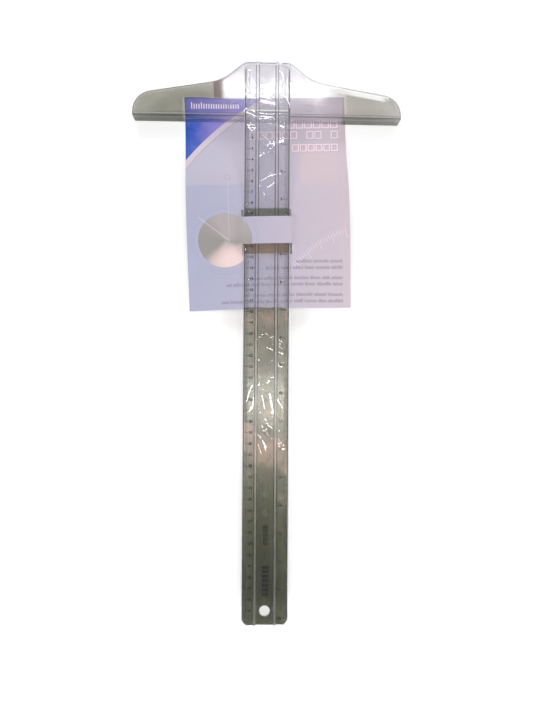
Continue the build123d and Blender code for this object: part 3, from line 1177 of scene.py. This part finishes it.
# Lamps, in metres: name, place, what it faces, width, depth, surface brightness, turn in degrees, shape
MIDDLE = (0.0, -0.2, 0.0)
LAMPS = (
    ("window_over_head", (0.03, 0.371, 0.6), (0.03, 0.371, 0.0), 0.22, 0.034, 14.0, -2.0, "RECTANGLE"),
    ("lamp_over_blade", (0.03, -0.32, 0.9), (0.03, -0.32, 0.0), 0.20, 0.14, 12.5, 0.0, "ELLIPSE"),
    ("window_right", (0.40, 1.12, 0.44), (0.08, 0.02, 0.0), 0.50, 0.26, 5.0, 0.0, "RECTANGLE"),
    ("strip_left", (-1.05, -0.22, 0.68), MIDDLE, 0.46, 0.46, 12.5, 0.0, "RECTANGLE"),
    ("strip_right", (1.05, -0.25, 0.66), MIDDLE, 0.46, 0.46, 12.5, 0.0, "RECTANGLE"),
    ("strip_front", (0.0, -1.25, 0.55), MIDDLE, 0.8, 0.36, 11.0, 0.0, "RECTANGLE"),
    ("strip_back", (-0.10, 1.25, 0.80), MIDDLE, 0.8, 0.36, 13.0, 0.0, "RECTANGLE"),
)

# Camera, fitted to the scales in the photograph: metres and degrees
LENS = 24.96
SENSOR = 36.0
CAMERA_PLACE = (-0.0116, -0.2295, 0.4509)
CAMERA_TURN = (1.23, -1.54, 0.38)

# Layers of clear plastic that a ray may cross, so that none turns black
CLEAR_LAYERS = 48


def studio_floor():
    made = Material("floor_paper")
    tone = made.scaled((0.90, 0.90, 0.90), made.noise(60.0, 2.0) * 0.02 + 0.98)
    material = made.finish(made.node("ShaderNodeBsdfDiffuse", Color=tone).outputs[0])
    corners = [(x * FLOOR_HALF, y * FLOOR_HALF, FLOOR) for x, y in ((-1, -1), (1, -1), (1, 1), (-1, 1))]
    mesh_piece("floor", corners, [[0, 1, 2, 3]], material, smooth=False)


def softbox(name, centre, target, width, depth, radiance, turn, shape):
    """A flat light whose surface has the given brightness, facing its target."""
    light = bpy.data.lights.new(name, "AREA")
    light.shape = shape
    light.size = width
    light.size_y = depth
    light.energy = radiance * pi * width * depth
    lamp = bpy.data.objects.new(name, light)
    bpy.context.scene.collection.objects.link(lamp)
    aim = (Vector(target) - Vector(centre)).to_track_quat("-Z", "Y").to_matrix().to_4x4()
    lamp.matrix_world = Matrix.Translation(centre) @ aim @ Matrix.Rotation(radians(turn), 4, "Z")
    lamp.visible_camera = False


def studio_light():
    world = bpy.data.worlds.new("studio")
    world.use_nodes = True
    world.node_tree.nodes["Background"].inputs["Color"].default_value = WORLD_COLOUR
    world.node_tree.nodes["Background"].inputs["Strength"].default_value = WORLD_STRENGTH
    bpy.context.scene.world = world
    for lamp in LAMPS:
        softbox(*lamp)


def photo_camera():
    data = bpy.data.cameras.new("camera")
    data.sensor_fit = "AUTO"
    data.sensor_width = SENSOR
    data.lens = LENS
    data.clip_start = 0.01
    data.clip_end = 20.0
    camera = bpy.data.objects.new("camera", data)
    camera.rotation_mode = "ZYX"
    camera.rotation_euler = [radians(angle) for angle in CAMERA_TURN]
    camera.location = CAMERA_PLACE
    bpy.context.scene.collection.objects.link(camera)
    bpy.context.scene.camera = camera


# ---------------------------------------------------------------- assembly


def paint(node, material):
    """Gives a CAD node its material."""
    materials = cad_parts[node].data.materials
    materials.clear()
    materials.append(material)


photo_camera()
studio_light()
studio_floor()
bpy.context.scene.view_settings.view_transform = "Standard"
bpy.context.scene.cycles.transparent_max_bounces = CLEAR_LAYERS

paint("head", head_plastic())
paint("blade", blade_plastic())

dark_ink = ink("scale_ink", linear(34, 32, 32), 0.5)
make_scales(dark_ink)
make_numerals(dark_ink)
make_imprint(ink("imprint_ink", linear(16, 16, 18), 0.3))
make_moulding_marks(ink("moulded_edge", linear(120, 116, 124), 0.3))

make_card(card_print())
card_marks("card_text_strokes", greeked_lines(), ink("card_grey_ink", linear(122, 112, 128), 0.3))
shadow_ink = ink("card_shadow_ink", linear(160, 148, 170), 0.2)
card_marks("card_title_shadow", outlined_blocks(0.45), shadow_ink, 0.01)
title_ink = ink("card_pink_ink", linear(224, 202, 208), 0.1)
card_marks("card_title_blocks", outlined_blocks(0.0), title_ink, 0.045)
card_marks("card_corner_rules", pale_rules(), ink("card_pale_ink", linear(240, 226, 240), 0.1))
dial_ticks, dial_arc = dial()
card_marks("card_dial_ticks", dial_ticks, ink("card_tick_ink", linear(216, 200, 212), 0.1))
card_marks("card_dial_arc", dial_arc, ink("card_arc_ink", linear(166, 158, 186), 0.1))

make_back_film(film_plastic("clear_film_back", (0.985, 0.985, 0.985)))
make_front_film(film_plastic("clear_film_front", (0.975, 0.975, 0.98)))
